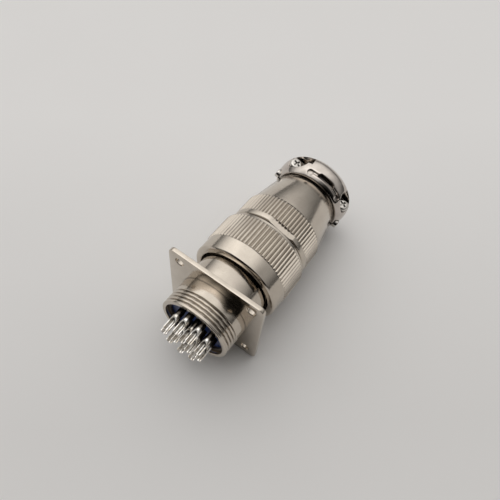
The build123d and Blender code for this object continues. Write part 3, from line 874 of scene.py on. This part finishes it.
# %% [markdown]
# ## Screw seats and the two halves
#
# Each clamp screw stands in a round pocket that opens to the side, so a screwdriver reaches it
# from above. Two small locating screws sit in the seam between the halves. After all cuts,
# every sharp edge is broken a little, because a casting has no knife edges.

# %% Cut the two halves
SCREW_STATION = 63.3
SCREW_SPACING = 23.6
SCREW_SEAT = 6.2
SCREW_HOLE_RADIUS = 1.6
SCREW_HOLE_DEPTH = 4.9
POCKET_RADIUS = 3.1
POCKET_REAR = 66.6
LOCATING_STATION = 59.8
LOCATING_SEAT = 14.0
LOCATING_HEAD_RADIUS = 1.7
LOCATING_CLEARANCE = 0.1
CAST_EDGE = 0.14
CAST_SHARP = 40


def locating_cutters():
    """Return the cutters of the two seats for the small screws in the seam."""
    radius = LOCATING_HEAD_RADIUS + LOCATING_CLEARANCE
    return [
        cutter_rod((LOCATING_STATION, base, 0), REACH - LOCATING_SEAT, radius, "Y")
        for base in (LOCATING_SEAT, -REACH)
    ]


def make_upper_half():
    """Cut the window, the valley, the pockets and the screw holes in the upper half ring."""
    cutters = [window_cutter(), *valley_cutters(), *locating_cutters()]
    for side in (1, -1):
        screw = side * SCREW_SPACING / 2
        arch_end = ARCH_MIDDLE + side * ARCH_WIDTH / 2
        low, high = sorted((arch_end, side * REACH))
        cutters += [
            cutter_rod((SCREW_STATION, screw, SCREW_SEAT), REACH - SCREW_SEAT, POCKET_RADIUS),
            cutter_rod((SCREW_STATION, screw, -OVERCUT), SCREW_SEAT + 2 * OVERCUT, SCREW_HOLE_RADIUS),
            cutter_box((SCREW_STATION, low, SCREW_SEAT), (POCKET_REAR, high, REACH)),
        ]
    mesh = cut_away(half_ring(1), cutters, CLAMP_TURN)
    break_edges(mesh, CAST_EDGE, CAST_SHARP)
    return finish_piece(mesh, "clamp_upper_arch", ["clamp_upper_half"], "plug")


def make_lower_half():
    """Cut the screw holes and the seam's seats in the lower half ring."""
    cutters = locating_cutters()
    for side in (1, -1):
        base = (SCREW_STATION, side * SCREW_SPACING / 2, -SCREW_HOLE_DEPTH)
        cutters.append(cutter_rod(base, SCREW_HOLE_DEPTH + OVERCUT, SCREW_HOLE_RADIUS))
    mesh = cut_away(half_ring(-1), cutters, CLAMP_TURN)
    break_edges(mesh, CAST_EDGE, CAST_SHARP)
    return finish_piece(mesh, "clamp_lower_ring", ["clamp_lower_half"], "plug")


clamp_upper = make_upper_half()
clamp_lower = make_lower_half()

# %% [markdown]
# ## Screws
#
# Both kinds of screw have a domed head. The head's outline ends in a quarter round, and the
# cross recess of the larger ones is cut with two thin boxes. Each screw is made lying along X
# at the origin, then turned to its direction and moved to its seat.

# %% Turn a screw and place it
SCREW_RADIUS = 1.5
SCREW_LENGTH = 11.0
SCREW_HEAD_RADIUS = 2.5
SCREW_HEAD_HEIGHT = 1.8
HEAD_ROUND = 0.9
LOCATING_RADIUS = 0.6
LOCATING_LENGTH = 3.15
LOCATING_HEAD_HEIGHT = 1.8
LOCATING_ROUND = 0.5
ROUND_STEPS = 5
HEAD_DOME = 0.1
POLE_WELD = 0.001 * MM


def spin_solid(mesh, steps):
    """Spin a wire whose ends lie on the axis, and weld the points at its two poles."""
    spin_outline(mesh, steps)
    bmesh.ops.remove_doubles(mesh, verts=mesh.verts, dist=POLE_WELD)
    face_outwards(mesh)


def turn_screw(radius, length, head_radius, head_height, head_round):
    """Spin a screw whose head stands on the origin and whose shank points to -X."""
    height, width = head_height - head_round, head_radius - head_round
    angles = [TURN / 4 * step / ROUND_STEPS for step in range(ROUND_STEPS, -1, -1)]
    quarter = [
        (height + head_round * math.cos(angle), width + head_round * math.sin(angle))
        for angle in angles
    ]
    shank = ((-length, 0), (-length, radius), (0, radius), (0, head_radius))
    mesh = draw_outline((*shank, *quarter, (head_height + HEAD_DOME, 0)), closed=False)
    spin_solid(mesh, CUTTER_SIDES)
    return mesh


def place_screw(mesh, axis, seat):
    """Turn a screw from +X to its own direction, and move it to its seat."""
    turn = Vector((1, 0, 0)).rotation_difference(axis).to_matrix()
    bmesh.ops.rotate(mesh, cent=(0, 0, 0), matrix=turn, verts=mesh.verts)
    move_mesh(mesh, seat)


# %% Clamp screws and locating screws
RECESS_WIDTH = 0.7
RECESS_LENGTH = 2.8
RECESS_DEPTH = 0.9
SCREW_EDGE = 0.06
clamp_frame = Matrix.Rotation(CLAMP_TURN, 3, "X")


def make_clamp_screw(side, node):
    """Make the clamp screw of one side, with its cross recess."""
    half, width = RECESS_LENGTH / 2, RECESS_WIDTH / 2
    floor_height = SCREW_HEAD_HEIGHT - RECESS_DEPTH
    top = SCREW_HEAD_HEIGHT + OVERCUT
    mesh = turn_screw(SCREW_RADIUS, SCREW_LENGTH, SCREW_HEAD_RADIUS, SCREW_HEAD_HEIGHT, HEAD_ROUND)
    slots = [
        cutter_box((floor_height, -half, -width), (top, half, width)),
        cutter_box((floor_height, -width, -half), (top, width, half)),
    ]
    mesh = cut_away(mesh, slots)
    break_edges(mesh, SCREW_EDGE)
    seat = clamp_frame @ Vector((SCREW_STATION, side * SCREW_SPACING / 2, SCREW_SEAT)) * MM
    place_screw(mesh, clamp_frame @ Vector((0, 0, 1)), seat)
    return finish_piece(mesh, f"{node}_domed", [node], "plug")


def make_locating_screw(side, node):
    """Make the small screw of one side, in the seam."""
    mesh = turn_screw(
        LOCATING_RADIUS, LOCATING_LENGTH, LOCATING_HEAD_RADIUS, LOCATING_HEAD_HEIGHT, LOCATING_ROUND
    )
    outwards = clamp_frame @ Vector((0, 1, 0)) * side
    seat = Vector((LOCATING_STATION, 0, 0)) * MM + outwards * LOCATING_SEAT * MM
    place_screw(mesh, outwards, seat)
    return finish_piece(mesh, f"{node}_domed", [node], "plug")


screws = []
for side, name in ((1, "left"), (-1, "right")):
    screws.append(make_clamp_screw(side, f"clamp_screw_{name}"))
    screws.append(make_locating_screw(side, f"locating_screw_{name}"))

# %% [markdown]
# ## Pin contacts
#
# Each contact ends in a solder cup: a drilled tube whose upper half is scooped away, so that a
# wire can be laid in and soldered. One contact is spun and scooped, and copies of its mesh go
# to the places of the twelve CAD contacts.

# %% Turn and scoop one contact
CUP_RADIUS = 1.25
CUP_BORE_RADIUS = 0.9
CUP_BORE_DEPTH = 6.9
DRILL_POINT = 0.5
SCOOP_LENGTH = 5.1
SCOOP_RAMP = 2.1
SCOOP_FLOOR = 0.25
COLLAR = (-4.2, -3.0)
COLLAR_RADIUS = 1.8
PIN_RADIUS = 1.0
PIN_CHAMFER = 0.5
CUP_EDGE = 0.05
CONTACT_STEPS = 40


def scoop_cutter(tip):
    """Return the wedge that opens a cup from its tip up to a slanted ramp."""
    start = tip - OVERCUT
    ramp_start = tip + SCOOP_LENGTH - SCOOP_RAMP
    ramp_end = tip + SCOOP_LENGTH + SCOOP_RAMP
    top = 2 * CUP_RADIUS - SCOOP_FLOOR
    mesh = bmesh.new()
    outline = ((start, SCOOP_FLOOR), (ramp_start, SCOOP_FLOOR), (ramp_end, top), (start, top))
    verts = [mesh.verts.new(Vector((x, -2 * CUP_RADIUS, z)) * MM) for x, z in outline]
    side = mesh.faces.new(verts)
    pushed = bmesh.ops.extrude_face_region(mesh, geom=[side])["geom"]
    moved = [item for item in pushed if isinstance(item, bmesh.types.BMVert)]
    bmesh.ops.translate(mesh, vec=(0, 4 * CUP_RADIUS * MM, 0), verts=moved)
    face_outwards(mesh)
    return mesh


def turn_contact():
    """Spin a contact on the X axis and scoop its cup."""
    low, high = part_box("pin_contact_01")
    tip, end = low.x / MM, high.x / MM
    mesh = draw_outline(
        (
            (tip + CUP_BORE_DEPTH + DRILL_POINT, 0),
            (tip + CUP_BORE_DEPTH, CUP_BORE_RADIUS),
            (tip, CUP_BORE_RADIUS),
            (tip, CUP_RADIUS),
            (COLLAR[0], CUP_RADIUS),
            (COLLAR[0], COLLAR_RADIUS),
            (COLLAR[1], COLLAR_RADIUS),
            (COLLAR[1], PIN_RADIUS),
            (end - PIN_CHAMFER, PIN_RADIUS),
            (end, PIN_RADIUS - PIN_CHAMFER),
            (end, 0),
        ),
        closed=False,
    )
    spin_solid(mesh, CONTACT_STEPS)
    mesh = cut_away(mesh, [scoop_cutter(tip)])
    break_edges(mesh, CUP_EDGE)
    return mesh


contact_mesh = turn_contact()
print("one contact", len(contact_mesh.faces), "faces")

# %% Set a copy in each place
PIN_COUNT = 12


def place_contact(number):
    """Copy the contact to the middle of a CAD contact's box, across the axis."""
    node = f"pin_contact_{number:02d}"
    low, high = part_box(node)
    mesh = contact_mesh.copy()
    move_mesh(mesh, (0, (low.y + high.y) / 2, (low.z + high.z) / 2))
    return finish_piece(mesh, f"solder_cup_{number:02d}", [node], "receptacle")


contacts = [place_contact(number) for number in range(1, PIN_COUNT + 1)]
contact_mesh.free()

# %% [markdown]
# ## Node helpers
#
# Every finish is a small tree of shader nodes. These helpers keep the trees readable: an input
# is given either a constant or another node's output, and a noise pattern is measured in the
# piece's own millimetres, stretched where a pattern follows the lathe.

# %% Helpers for nodes and materials


def give(socket, value):
    """Link an input to another node's output, or set it to a constant."""
    if isinstance(value, bpy.types.NodeSocket):
        socket.id_data.links.new(value, socket)
    else:
        socket.default_value = value


def give_inputs(node, **values):
    """Give values to the inputs that are named, with underscores for spaces."""
    for name, value in values.items():
        give(node.inputs[name.replace("_", " ")], value)


def add_node(tree, kind, **values):
    """Add a node of a kind, and give values to its named inputs."""
    node = tree.nodes.new(kind)
    give_inputs(node, **values)
    return node


def add_math(tree, kind, operation, *values):
    """Add a node of a kind that combines values by an operation."""
    node = tree.nodes.new(kind)
    node.operation = operation
    for socket, value in zip(node.inputs, values):
        give(socket, value)
    return node


def new_material(name, color, metallic, roughness):
    """Make a material with one Principled shader, and return it with its tree and shader."""
    material = bpy.data.materials.new(name)
    material.use_nodes = True
    shader = material.node_tree.nodes["Principled BSDF"]
    give_inputs(shader, Base_Color=(*color, 1), Metallic=metallic, Roughness=roughness)
    return material, material.node_tree, shader


# %% Helpers for patterns, colours and bump
NOISE_ROUGHNESS = 0.55
# Where most of the noise's values lie, between 0 and 1
NOISE_RANGE = (0.3, 0.7)


def add_pattern(tree, scale, detail):
    """Return the grey output of a noise whose cells a millimetre holds: one scale, or three."""
    sizes = scale if isinstance(scale, tuple) else (scale, scale, scale)
    place = tree.nodes.new("ShaderNodeTexCoord").outputs["Object"]
    mapping = add_node(tree, "ShaderNodeMapping", Vector=place, Scale=[size / MM for size in sizes])
    noise = add_node(
        tree, "ShaderNodeTexNoise", Vector=mapping.outputs["Vector"], Scale=1.0, Detail=detail,
        Roughness=NOISE_ROUGHNESS,
    )
    return noise.outputs["Fac"]


def add_ramp(tree, fac, stops):
    """Return the colour output of a ramp with two (position, colour) stops."""
    ramp = add_node(tree, "ShaderNodeValToRGB", Fac=fac)
    for element, (position, color) in zip(ramp.color_ramp.elements, stops):
        element.position = position
        element.color = (*color, 1)
    return ramp.outputs["Color"]


def add_range(tree, fac, low, high, source=NOISE_RANGE):
    """Return a grey socket mapped from a source range to a new one, held at its ends."""
    node = add_node(
        tree, "ShaderNodeMapRange", Value=fac, From_Min=source[0], From_Max=source[1],
        To_Min=low, To_Max=high,
    )
    return node.outputs["Result"]


def add_along(tree, direction, first, last):
    """Return a grey socket that runs from 0 to 1 along a direction, between two places in mm."""
    place = tree.nodes.new("ShaderNodeTexCoord").outputs["Object"]
    along = add_math(tree, "ShaderNodeVectorMath", "DOT_PRODUCT", place, direction)
    return add_range(tree, along.outputs["Value"], 0.0, 1.0, (first * MM, last * MM))


def add_bump(tree, height, depth, **below):
    """Return a normal bumped by a grey socket, by a depth in mm, over any Normal given."""
    bump = add_node(tree, "ShaderNodeBump", Height=height, Strength=1.0, Distance=depth * MM, **below)
    return bump.outputs["Normal"]


# %% Helpers for painted shade and for dressing pieces
# Painted shade: an occlusion mask darkens the colour where corners, grooves and bores lie in shade
SHADE_STOPS = (0.2, 0.75)
SHADE_TINT = (1.0, 0.95, 0.88)
SHADE_SAMPLES = 8


def add_painted_shade(tree, color, reach, dark):
    """Return a colour with painted shade in corners and grooves that are narrower than a reach."""
    hidden = add_node(tree, "ShaderNodeAmbientOcclusion", Distance=reach * MM)
    hidden.samples = SHADE_SAMPLES
    deepest_shade = tuple(dark * part for part in SHADE_TINT)
    shade = add_ramp(tree, hidden.outputs["AO"], zip(SHADE_STOPS, (deepest_shade, (1, 1, 1))))
    return add_math(tree, "ShaderNodeVectorMath", "MULTIPLY", color, shade).outputs["Vector"]


def dress(pieces, material):
    """Give each piece one material, in place of what it had."""
    for piece in pieces:
        piece.data.materials.clear()
        piece.data.materials.append(material)


# %% [markdown]
# ## Nickel plate
#
# The turned pieces are nickel over brass. The tool left fine rings round the axis, which smear
# a reflection along the part, so the bump is a noise that changes fast along X and hardly at
# all round it. A slow noise makes some patches duller and a little warmer, as handled plating
# is, and painted shade darkens the grooves and hollows, where little light reaches. The clamp and the
# screws are cast or pressed, so they are brighter, with hardly a ring but with slow waves in the
# skin.

# %% Nickel, bright nickel and screws
PLATE_STOPS = (0.36, 0.58)
PLATE_GRAIN = 1.7
# How dark the painted shade in the grooves and hollows of plated metal gets
PLATE_SHADE = 0.08
ROUND_THE_AXIS = 0.12


def plate_finish(name, colors, roughness, patches, rings, ring_depth, reach, waves=None):
    """Make a plated metal: dull and clean colours, roughness range, lathe rings, painted shade,
    waves.
    """
    material, tree, shader = new_material(name, colors[1], 1.0, roughness[0])
    color = add_ramp(tree, add_pattern(tree, patches, 4.0), zip(PLATE_STOPS, colors))
    fine = add_pattern(tree, PLATE_GRAIN, 3.0)
    lathe = add_pattern(tree, (rings, ROUND_THE_AXIS, ROUND_THE_AXIS), 3.0)
    normal = add_bump(tree, lathe, ring_depth)
    if waves:
        size, depth = waves
        normal = add_bump(tree, add_pattern(tree, size, 1.0), depth, Normal=normal)
    give_inputs(
        shader, Base_Color=add_painted_shade(tree, color, reach, PLATE_SHADE),
        Roughness=add_range(tree, fine, *roughness), Normal=normal,
    )
    return material


nickel = plate_finish(
    "nickel_plate", colors=((0.565, 0.505, 0.435), (0.61, 0.55, 0.475)), roughness=(0.08, 0.20),
    patches=0.22, rings=2.2, ring_depth=0.012, reach=1.1,
)
bright = plate_finish(
    "bright_nickel", colors=((0.53, 0.48, 0.44), (0.60, 0.55, 0.505)), roughness=(0.06, 0.14),
    patches=0.35, rings=1.2, ring_depth=0.002, reach=2.4, waves=(0.45, 0.05),
)
screw_plate = plate_finish(
    "plated_screw", colors=((0.57, 0.54, 0.50), (0.70, 0.67, 0.63)), roughness=(0.07, 0.16),
    patches=0.5, rings=3.0, ring_depth=0.002, reach=1.2, waves=(0.8, 0.02),
)
print("plated metals", nickel.name, bright.name, screw_plate.name)

# %% [markdown]
# ## Silver
#
# The solder cups are silver plated, with a fine grain inside the scoop, yellow patches where
# the silver has tarnished, and painted shade deep in the bore. Near the insulator they stand in the
# dark of the tube, so a ramp along the axis paints shade on their necks.

# %% Silver plate
SILVER = (0.82, 0.80, 0.77)
TARNISH = (0.60, 0.55, 0.48)
# Painted shade on the necks: a ramp along the axis darkens them where the tube shades them
NECK_STATIONS = (-12.3, -11.6)
NECK_SHADE = (0.10, 0.09, 0.08)
CUP_REACH = 2.0
CUP_SHADE = 0.04


def silver_finish():
    """Make grainy silver plate that is tarnished in patches, with painted shade in the bore and at
    the neck.
    """
    material, tree, shader = new_material("silver_contact", SILVER, 1.0, 0.2)
    slow = add_pattern(tree, 0.6, 3.0)
    color = add_ramp(tree, slow, ((0.38, TARNISH), (0.6, SILVER)))
    neck = add_along(tree, (1, 0, 0), *NECK_STATIONS)
    # Painted shade: the necks are darkened where they stand in the dark of the tube
    neck_shade = add_ramp(tree, neck, ((0.0, (1, 1, 1)), (1.0, NECK_SHADE)))
    bore_shaded = add_painted_shade(tree, color, CUP_REACH, CUP_SHADE)
    shaded_silver = add_math(tree, "ShaderNodeVectorMath", "MULTIPLY", bore_shaded, neck_shade)
    give_inputs(
        shader, Base_Color=shaded_silver.outputs["Vector"], Roughness=add_range(tree, slow, 0.22, 0.10),
        Normal=add_bump(tree, add_pattern(tree, 2.5, 3.0), 0.008),
    )
    return material


silver = silver_finish()
print("silver", len(silver.node_tree.nodes), "nodes")

# %% [markdown]
# ## Steel, plastic, rubber and the sheet
#
# The ring that holds the insulator is dark spring steel. The insulator is a moulded dark blue
# plastic with a faint orange-peel skin, and the gasket is plain black rubber. The sheet below
# is dull and pale, and a ramp paints light on it, paler towards its far side.

# %% The other finishes
MOTTLE_STOPS = (0.35, 0.65)


def steel_finish():
    """Make dark oxide spring steel."""
    material, tree, shader = new_material("spring_steel", (0.10, 0.08, 0.06), 1.0, 0.4)
    slow = add_pattern(tree, 0.5, 3.0)
    color = add_ramp(tree, slow, zip(MOTTLE_STOPS, ((0.05, 0.04, 0.035), (0.14, 0.11, 0.085))))
    give_inputs(shader, Base_Color=color, Roughness=add_range(tree, slow, 0.32, 0.5))
    return material


def plastic_finish():
    """Make moulded dark blue plastic."""
    material, tree, shader = new_material("blue_insulator", (0.012, 0.045, 0.20), 0.0, 0.3)
    slow = add_pattern(tree, 0.35, 3.0)
    color = add_ramp(tree, slow, zip(MOTTLE_STOPS, ((0.010, 0.035, 0.16), (0.020, 0.070, 0.30))))
    skin = add_bump(tree, add_pattern(tree, 3.0, 2.0), 0.02)
    give_inputs(shader, Base_Color=color, Roughness=add_range(tree, slow, 0.3, 0.45), Normal=skin)
    return material


def rubber_finish():
    """Make dull black rubber."""
    material, tree, shader = new_material("gasket_rubber", (0.02, 0.02, 0.02), 0.0, 0.6)
    skin = add_pattern(tree, 2.0, 3.0)
    give_inputs(
        shader, Roughness=add_range(tree, skin, 0.5, 0.75), Normal=add_bump(tree, skin, 0.02)
    )
    return material


SHEET_LIGHT_DIRECTION = (0.78, 0.62, 0.0)
SHEET_LIGHT_FADE = (-35.0, 105.0)


def sheet_finish():
    """Make the pale sheet of the floor, with painted light that makes it a little paler towards the
    far side.
    """
    material, tree, shader = new_material("pale_sheet", (0.88, 0.87, 0.86), 0.0, 0.75)
    # Painted light: the sheet's colour grows paler towards its far side, as light falling off from a
    # lamp
    fade = add_along(tree, SHEET_LIGHT_DIRECTION, *SHEET_LIGHT_FADE)
    color = add_ramp(tree, fade, ((0.0, (0.82, 0.81, 0.80)), (1.0, (0.95, 0.94, 0.93))))
    fibres = add_pattern(tree, 0.02, 2.0)
    give_inputs(shader, Base_Color=color, Roughness=add_range(tree, fibres, 0.65, 0.85))
    return material


steel = steel_finish()
blue = plastic_finish()
rubber = rubber_finish()
sheet = sheet_finish()
print("finishes", len(bpy.data.materials))

# %% Dress the CAD nodes, the new pieces and the floor
SLOT_MATERIALS = {
    "nickel_plate": nickel,
    "bright_nickel": bright,
    "plated_screw": screw_plate,
    "silver_contact": silver,
    "spring_steel": steel,
    "blue_insulator": blue,
    "gasket_rubber": rubber,
}
for row in frame["record"]["subparts"]:
    dress([frame["nodes"][row["node"]]], SLOT_MATERIALS[row["material_slot"]])
dress([receptacle_shell, coupling_nut, backshell], nickel)
dress([clamp_upper, clamp_lower], bright)
dress(screws, screw_plate)
dress(contacts, silver)
dress([floor], sheet)

# %% [markdown]
# ## Light
#
# Metal shows its room, so the room matters as much as the metal. This room is black, and each
# lobe of light in it stands for a stretch of ceiling or wall. A lobe is the cosine to its
# direction, raised to a power. The lobes stand in three rings, each with a level of its own,
# and all grow brighter towards the window. Nothing shines from the walls behind the
# photographer, and that dark side gives the neck and the knurls their contrast.

# %% The room
ROOM_TINT = (1.0, 0.985, 0.965)
LOBE_POWER = 14.0
WINDOW_AZIMUTH = 110
WINDOW_SHARE = 0.4
# Elevation, level, and the azimuths of the lobes from +X towards +Y, in degrees
CEILING = (75, 1.1, (-45, 135))
HIGH_WALLS = (52, 0.65, (-45, 0, 45, 90))
LOW_WALLS = (27, 0.6, (-70, -25, 20, 65, 110))


def add_lobe(tree, direction, elevation, level, azimuth):
    """Return a grey socket that is bright towards one direction, and more so by the window."""
    off_window = math.radians(azimuth - WINDOW_AZIMUTH)
    brightness = level * (1 + WINDOW_SHARE * math.cos(off_window))
    azimuth, elevation = math.radians(azimuth), math.radians(elevation)
    flat = math.cos(elevation)
    middle = (flat * math.cos(azimuth), flat * math.sin(azimuth), math.sin(elevation))
    dot = add_math(tree, "ShaderNodeVectorMath", "DOT_PRODUCT", direction, middle)
    value = dot.outputs["Value"]
    for operation, number in (("MAXIMUM", 0.0), ("POWER", LOBE_POWER), ("MULTIPLY", brightness)):
        value = add_math(tree, "ShaderNodeMath", operation, value, number).outputs["Value"]
    return value


def light_world():
    """Give the world its lobes of light."""
    world = bpy.data.worlds.new("room")
    bpy.context.scene.world = world
    world.use_nodes = True
    tree = world.node_tree
    direction = tree.nodes.new("ShaderNodeTexCoord").outputs["Generated"]
    total = 0.0
    for elevation, level, azimuths in (CEILING, HIGH_WALLS, LOW_WALLS):
        for azimuth in azimuths:
            light = add_lobe(tree, direction, elevation, level, azimuth)
            total = add_math(tree, "ShaderNodeMath", "ADD", total, light).outputs["Value"]
    tint = add_math(tree, "ShaderNodeVectorMath", "SCALE", ROOM_TINT)
    give_inputs(tint, Scale=total)
    give_inputs(tree.nodes["Background"], Color=tint.outputs["Vector"])


light_world()
print("nodes of the room", len(bpy.context.scene.world.node_tree.nodes))

# %% Finish
bpy.context.scene.view_settings.view_transform = "Standard"
